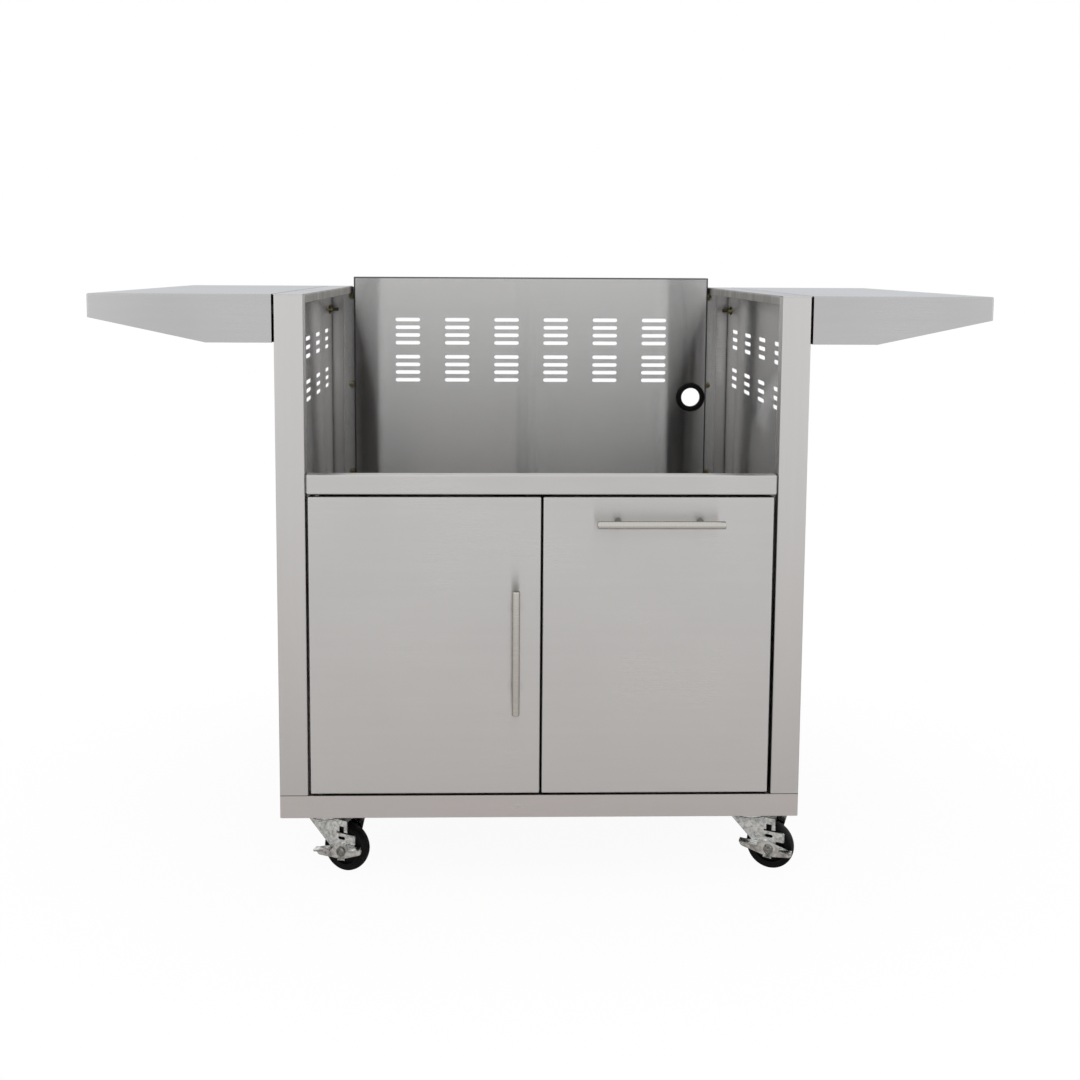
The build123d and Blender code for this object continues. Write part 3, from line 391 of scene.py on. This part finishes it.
def eased(points, radius, steps=5, loop=False):
    """Polyline with rounded corners: each corner p gives way to the parabola (1-t)^2 a + 2t(1-t) p + t^2 b
    between a and b, which lie at most radius before and after p on its two sides."""
    p = np.array(points, float)

    def toward(other):
        step = other - p
        length = np.linalg.norm(step, axis=1, keepdims=True)
        return p + step * np.minimum(radius / length, 0.45)

    t = np.linspace(0.0, 1.0, steps)[None, :, None]
    a, b = toward(np.roll(p, 1, 0)), toward(np.roll(p, -1, 0))
    curves = (1 - t) ** 2 * a[:, None] + 2 * t * (1 - t) * p[:, None] + t ** 2 * b[:, None]
    if loop:
        return curves.reshape(-1, 2)
    return np.concatenate([p[:1], curves[1:-1].reshape(-1, 2), p[-1:]])


def lathe(start, axis, profile, steps=64, relief=None):
    """Turned surface: profile point (r, d) at angle a lies at start + d * axis + r * (cos a * side + sin a *
    third), with side and third square to the axis; relief(r, d, a) is added to d. A profile that starts and
    ends on the axis is closed there by one corner at each end, any other by joining its last point to its
    first."""
    axis = np.array(axis) / np.linalg.norm(axis)
    side = np.cross(axis, np.eye(3)[np.argmin(np.abs(axis))])
    side = side / np.linalg.norm(side)
    third = np.cross(axis, side)
    r, d = np.array(profile, float).T[:, :, None]
    a = np.linspace(0.0, 2.0 * np.pi, steps, endpoint=False)[None, :]
    d = d + (relief(r, d, a) if relief else 0.0 * a)
    round_axis = np.cos(a)[..., None] * side + np.sin(a)[..., None] * third
    rings = np.array(start) + d[..., None] * axis + r[..., None] * round_axis
    poles = profile[0][0] == 0.0
    inner = rings[1:-1] if poles else rings
    ring, place = np.meshgrid(np.arange(len(inner)), np.arange(steps), indexing="ij")
    here, after = ring * steps + place, ring * steps + (place + 1) % steps
    quads = np.stack([here, after, np.roll(after, -1, 0), np.roll(here, -1, 0)], -1)
    if not poles:
        return inner.reshape(-1, 3), [quads.reshape(-1, 4)]
    first, last = np.full(steps, inner.size // 3), np.full(steps, inner.size // 3 + 1)
    corners = np.concatenate([inner.reshape(-1, 3), rings[[0, -1], 0]])
    lower = np.stack([first, after[0], here[0]], -1)
    upper = np.stack([here[-1], after[-1], last], -1)
    return corners, [quads[:-1].reshape(-1, 4), lower, upper]


def put(name, shells, finish, body, slot_name, *stands_for):
    """Adds a piece made of closed shells at the origin; it rides on a body and may stand for nodes of it."""
    crease = 0.7
    starts = np.cumsum([0] + [len(corners) for corners, groups in shells])
    faces = []
    for start, (corners, groups) in zip(starts, shells):
        for group in groups:
            faces += (group + start).tolist()
    mesh = bpy.data.meshes.new(name)
    mesh.from_pydata(np.concatenate([corners for corners, groups in shells]).tolist(), [], faces)
    mesh.shade_smooth()
    mesh.set_sharp_from_angle(angle=crease)
    mesh.materials.append(finish)
    piece = bpy.data.objects.new(name, mesh)
    bpy.context.scene.collection.objects.link(piece)
    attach(piece, body)
    if stands_for:
        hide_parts(*stands_for)


def box_of(node_name):
    """Lowest and highest corner of a node, as arrays."""
    low, high = (np.array(corner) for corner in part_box(node_name))
    return low, high


def handle_bar(node_name):
    """Round bar along the longest side of the node's box: radius constant, with softly rounded ends."""
    end_round = 0.0018
    low, high = box_of(node_name)
    size = high - low
    axis, length, radius = np.eye(3)[np.argmax(size)], size.max(), size.min() / 2
    start = (low + high) / 2 - axis * length / 2
    profile = eased([(0.0, 0.0), (radius, 0.0), (radius, length), (0.0, length)], end_round, steps=7)
    return lathe(start, axis, profile, steps=96)


def handle_standoffs(node_name):
    """Two posts under a bar, turned about lines out of the front's face: a thin foot, then one radius."""
    foot_flare, foot_height, edge_round = 1.08, 0.0012, 0.0004
    low, high = box_of(node_name)
    width, reach, height = high - low
    apart = np.eye(3)[0 if width > height else 2]
    radius = min(width, height) / 2
    foot = foot_flare * radius
    profile = eased([(0.0, 0.0), (foot, 0.0), (foot, foot_height), (radius, foot_height), (radius, reach),
                     (0.0, reach)], edge_round)
    middle = (low + high) / 2 + (0.0, reach / 2, 0.0)
    half = max(width, height) / 2 - radius
    return [lathe(middle + sign * half * apart, FRONT, profile) for sign in (-1.0, 1.0)]


def caster_tyre(site):
    """Wheel turned about its axle: a tread r = R - c (d / w)^2, three low ridges sin^2 round each side wall,
    a bead, a dished web and a hub; the other half is the same with d turned over."""
    joint = joints["roll_" + site]
    low, high = box_of("caster_wheel_" + site)
    radius, crown, wall = (high - low)[2] / 2, 0.0025, 0.0108
    ridge_count, ridge_band, ridge_height = 3, 0.0068, 0.0006
    bead, bead_half, web, web_half = 0.028, 0.012, 0.025, 0.0065
    hub, hub_half, bore, edge_round = 0.013, 0.0144, 0.00405, 0.0006
    across = np.linspace(-1.0, 1.0, 25)
    tread = np.stack([radius - crown * across ** 2, wall * across], -1)
    inward = np.linspace(0.0, 1.0, 40)[1:]
    ridges = np.stack([radius - crown - ridge_band * inward,
                       wall + ridge_height * np.sin(ridge_count * np.pi * inward) ** 2], -1)
    inner = eased([(bead + edge_round, wall), (bead, wall), (bead, bead_half), (web, bead_half),
                   (web, web_half), (hub, web_half), (hub, hub_half), (bore, hub_half)], edge_round)[1:]
    half = np.concatenate([ridges, inner])
    profile = np.concatenate([tread, half, half[::-1] * (1.0, -1.0)])
    return lathe(joint["pos_m"], joint["axis"], profile, steps=128)


def rivet_end(site):
    """Spread end of a braked caster's axle: a rounded ring, and in it a low dome left by the rivet tool."""
    leg_face, sunk = 0.0231, -0.0006
    ring_foot, ring_crest, crest_inner, foot_inner, ring_rise = 0.0066, 0.0062, 0.0042, 0.0036, 0.0009
    dome_foot, dome_shoulder, shoulder_rise, dome_rise = 0.0021, 0.0019, 0.0004, 0.0007
    joint = joints["roll_" + site]
    out = -np.array(joint["axis"])
    face = np.array(joint["pos_m"]) + leg_face * out
    ring = eased([(ring_foot, sunk), (ring_crest, ring_rise), (crest_inner, ring_rise), (foot_inner, sunk)],
                 radius=0.0005, loop=True)
    dome = eased([(0.0, sunk), (dome_foot, sunk), (dome_shoulder, shoulder_rise), (0.0, dome_rise)],
                 radius=0.0006)
    return [lathe(face, out, ring), lathe(face, out, dome, steps=32)]


def panel_screws():
    """Ten screws through the panel's flanges: shank, washer rim and a dome d = e + h sqrt(1 - (r / R)^2),
    with a cross sunk into the dome where either offset from the middle is under the slot's half width."""
    head, shank, seat, rim, rim_width, rows = 0.006, 0.002, 0.003, 0.0036, 0.0008, 5
    slot_half, slot_reach, slot_depth = 0.0008, 0.0032, 0.0013
    wall_slope, end_slope = 0.0003, 0.0005
    low, high = box_of("back_panel_screws")
    length = (high - low)[1]
    r = np.linspace(head - rim_width, 0.0, 22)
    dome = np.stack([r, rim + (length - rim) * np.sqrt(1.0 - (r / head) ** 2)], -1)
    profile = np.concatenate([[(0.0, 0.0), (shank, 0.0), (shank, seat), (head, seat), (head, rim)], dome])

    def cross(r, d, a):
        off = np.minimum(np.abs(r * np.cos(a)), np.abs(r * np.sin(a)))
        walls = np.clip((slot_half - off) / wall_slope, 0.0, 1.0)
        ends = np.clip((slot_reach - r) / end_slope, 0.0, 1.0)
        return -slot_depth * walls * ends * (d > rim)

    columns = (low[0] + head, high[0] - head)
    levels = np.linspace(low[2] + head, high[2] - head, rows)
    return [lathe((x, high[1], z), FRONT, profile, relief=cross) for x in columns for z in levels]


def bolt_threads():
    """Screwed ends of the four shelf bracket bolts, inside their nuts: rings r = R + h cos(2 pi d / pitch)
    along the bolt, and a coned tip."""
    nut_face, flange = 0.403, 0.009
    radius, depth, pitch, length = 0.00305, 0.0002, 0.001, 0.011
    sunk, tip_radius, tip_length = -0.0005, 0.0018, 0.001
    low, high = box_of("shelf_bracket_bolts")
    d = np.linspace(0.0, length, 89)
    rings = np.stack([radius + depth * np.cos(2.0 * np.pi * d / pitch), d], -1)
    profile = np.concatenate([[(0.0, sunk), (radius, sunk)], rings,
                              [(tip_radius, length + tip_length), (0.0, length + tip_length)]])
    level = (low[2] + high[2]) / 2
    return [lathe((-sign * nut_face, y, level), (sign, 0.0, 0.0), profile, steps=32)
            for sign in (-1.0, 1.0) for y in (low[1] + flange, high[1] - flange)]


def hose_ring():
    """Grommet turned about a line through the panel: two rounded flanges, a neck in the hole and a bore."""
    sheet, lip, bore, neck, chamfer, edge_round = 0.0015, 0.004, 0.019, 0.023, 0.002, 0.0016
    low, high = box_of("hose_grommet")
    flange, depth = (high - low)[0] / 2, (high - low)[1]
    face = (low + high) / 2 - (0.0, depth / 2 - lip, 0.0)
    far = sheet + lip
    outline = [(bore, -lip), (flange - chamfer, -lip), (flange, -lip + chamfer), (flange, 0.0), (neck, 0.0),
               (neck, sheet), (flange, sheet), (flange, far - chamfer), (flange - chamfer, far), (bore, far)]
    return lathe(face, BACK, eased(outline, edge_round, steps=6, loop=True), steps=96)


put("door_bar", [handle_bar("door_handle_bar")], bar_upright, "door", "satin_bar", "door_handle_bar")
put("drawer_bar", [handle_bar("drawer_handle_bar")], bar_across, "drawer", "satin_bar", "drawer_handle_bar")
put("door_bar_posts", handle_standoffs("door_handle_standoffs"), bar_outward, "door", "satin_bar",
    "door_handle_standoffs")
put("drawer_bar_posts", handle_standoffs("drawer_handle_standoffs"), bar_outward, "drawer", "satin_bar",
    "drawer_handle_standoffs")
put("panel_screw_set", panel_screws(), fastener_zinc, "cabinet", "yellow_zinc", "back_panel_screws")
put("bracket_bolt_ends", bolt_threads(), fastener_zinc, "cabinet", "yellow_zinc")
put("hose_ring", [hose_ring()], grommet_rubber, "cabinet", "black_rubber", "hose_grommet")
for site in ("front_left", "front_right", "rear_left", "rear_right"):
    put("tyre_" + site, [caster_tyre(site)], tyre_rubber, "wheel_" + site, "wheel_rubber",
        "caster_wheel_" + site)
for site in ("front_left", "front_right"):
    put("rivet_" + site, rivet_end(site), axle_zinc, "fork_" + site, "bright_zinc")


def studio_floor():
    """Pale floor, flat grid z = 0; it shades near the cart and turns plain white further out."""
    reach = np.array([-14.0, 14.0])
    x, y = np.meshgrid(reach, reach, indexing="xy")
    corners = np.stack([x, y, np.zeros_like(x)], -1).reshape(-1, 3)
    mesh = bpy.data.meshes.new("studio_floor")
    mesh.from_pydata(corners.tolist(), [], [(0, 1, 3, 2)])
    floor = bpy.data.objects.new("studio_floor", mesh)
    bpy.context.scene.collection.objects.link(floor)
    paint = Finish("floor_paint")
    mesh.materials.append(paint.material)
    speck = paint.speckle(40.0)
    paint.set(Base_Color=paint.mix(speck, (0.69, 0.655, 0.635), (0.73, 0.695, 0.675)), Roughness=0.8)
    length = paint.node("ShaderNodeVectorMath", operation="LENGTH")
    paint.join(length.inputs[0], paint.vector("MULTIPLY", paint.place, (0.62, 1.0, 0.0)))
    distance = length.outputs["Value"]
    ray = paint.node("ShaderNodeLightPath").outputs
    seen = paint.math("MULTIPLY", ray["Is Camera Ray"], paint.spread(distance, 0.2, 0.7, 0.943, 1.0))
    mirrored = paint.math("MAXIMUM", ray["Is Glossy Ray"], ray["Is Transmission Ray"])
    mirrored = paint.math("MULTIPLY", mirrored, paint.spread(distance, 0.7, 3.2, 0.0, 1.0))
    blend = paint.node("ShaderNodeMixShader")
    paint.join(blend.inputs[0], paint.math("MAXIMUM", seen, mirrored))
    paint.join(blend.inputs[1], paint.shader.outputs[0])
    paint.join(blend.inputs[2], paint.node("ShaderNodeEmission").outputs[0])
    paint.join(paint.tree.nodes["Material Output"].inputs["Surface"], blend.outputs[0])
    return floor


def studio_world(ambient):
    """White backdrop for what is seen directly or mirrored, a softer level for the light it gives."""
    world = bpy.data.worlds.new("studio")
    bpy.context.scene.world = world
    world.use_nodes = True
    tree = world.node_tree
    sky = tree.nodes["Background"]
    sky.inputs["Color"].default_value = WHITE
    ray = tree.nodes.new("ShaderNodeLightPath").outputs
    shown = ray["Is Camera Ray"]
    for mirrored in ("Is Glossy Ray", "Is Transmission Ray"):
        either = tree.nodes.new("ShaderNodeMath")
        either.operation = "MAXIMUM"
        tree.links.new(shown, either.inputs[0])
        tree.links.new(ray[mirrored], either.inputs[1])
        shown = either.outputs[0]
    level = tree.nodes.new("ShaderNodeMapRange")
    level.inputs["To Min"].default_value = ambient
    level.inputs["To Max"].default_value = 1.0
    tree.links.new(shown, level.inputs["Value"])
    tree.links.new(level.outputs["Result"], sky.inputs["Strength"])


def softbox(name, place, width, height, radiance):
    """Soft area lamp that faces the cart's middle; its power follows from the radiance of its front."""
    cart_middle = Vector((0.0, 0.0, 0.5))
    data = bpy.data.lights.new(name, "AREA")
    data.shape = "RECTANGLE"
    data.size, data.size_y = width, height
    data.energy = radiance * np.pi * width * height
    lamp = bpy.data.objects.new(name, data)
    bpy.context.scene.collection.objects.link(lamp)
    lamp.location = place
    lamp.rotation_euler = (cart_middle - Vector(place)).to_track_quat("-Z", "Y").to_euler()
    return lamp


def photo_camera():
    """Camera of the photo: place, turn, tilt and roll, with the lens and shift of a 1080 x 1080 frame."""
    place, turn, tilt, roll = (-0.0767, -1.972, 0.9811), 0.02, 0.087, 0.005
    focal, middle_x, middle_y, frame_px, sensor = 1109.8, 515.4, 359.4, 1080.0, 36.0
    ahead = Vector((np.sin(turn) * np.cos(tilt), np.cos(turn) * np.cos(tilt), -np.sin(tilt)))
    level = Vector((np.cos(turn), -np.sin(turn), 0.0))
    upward = level.cross(ahead)
    right = level * np.cos(roll) + upward * np.sin(roll)
    top = upward * np.cos(roll) - level * np.sin(roll)
    data = bpy.data.cameras.new("photo_camera")
    data.sensor_width = sensor
    data.lens = sensor * focal / frame_px
    data.shift_x = (frame_px / 2 - middle_x) / frame_px
    data.shift_y = (middle_y - frame_px / 2) / frame_px
    camera = bpy.data.objects.new("photo_camera", data)
    bpy.context.scene.collection.objects.link(camera)
    camera.matrix_world = Matrix.Translation(place) @ Matrix((right, top, -ahead)).transposed().to_4x4()
    bpy.context.scene.camera = camera


studio_floor()
studio_world(ambient=0.62)
overhead = softbox("overhead_softbox", (0.0, -0.4, 2.8), width=3.4, height=2.6, radiance=1.2)
overhead.visible_glossy = False
softbox("left_softbox", (-2.3, -2.4, 1.7), width=1.4, height=1.6, radiance=1.2)
softbox("right_softbox", (2.4, -2.2, 1.5), width=1.2, height=1.6, radiance=0.9)
photo_camera()
bpy.context.scene.view_settings.view_transform = "Standard"
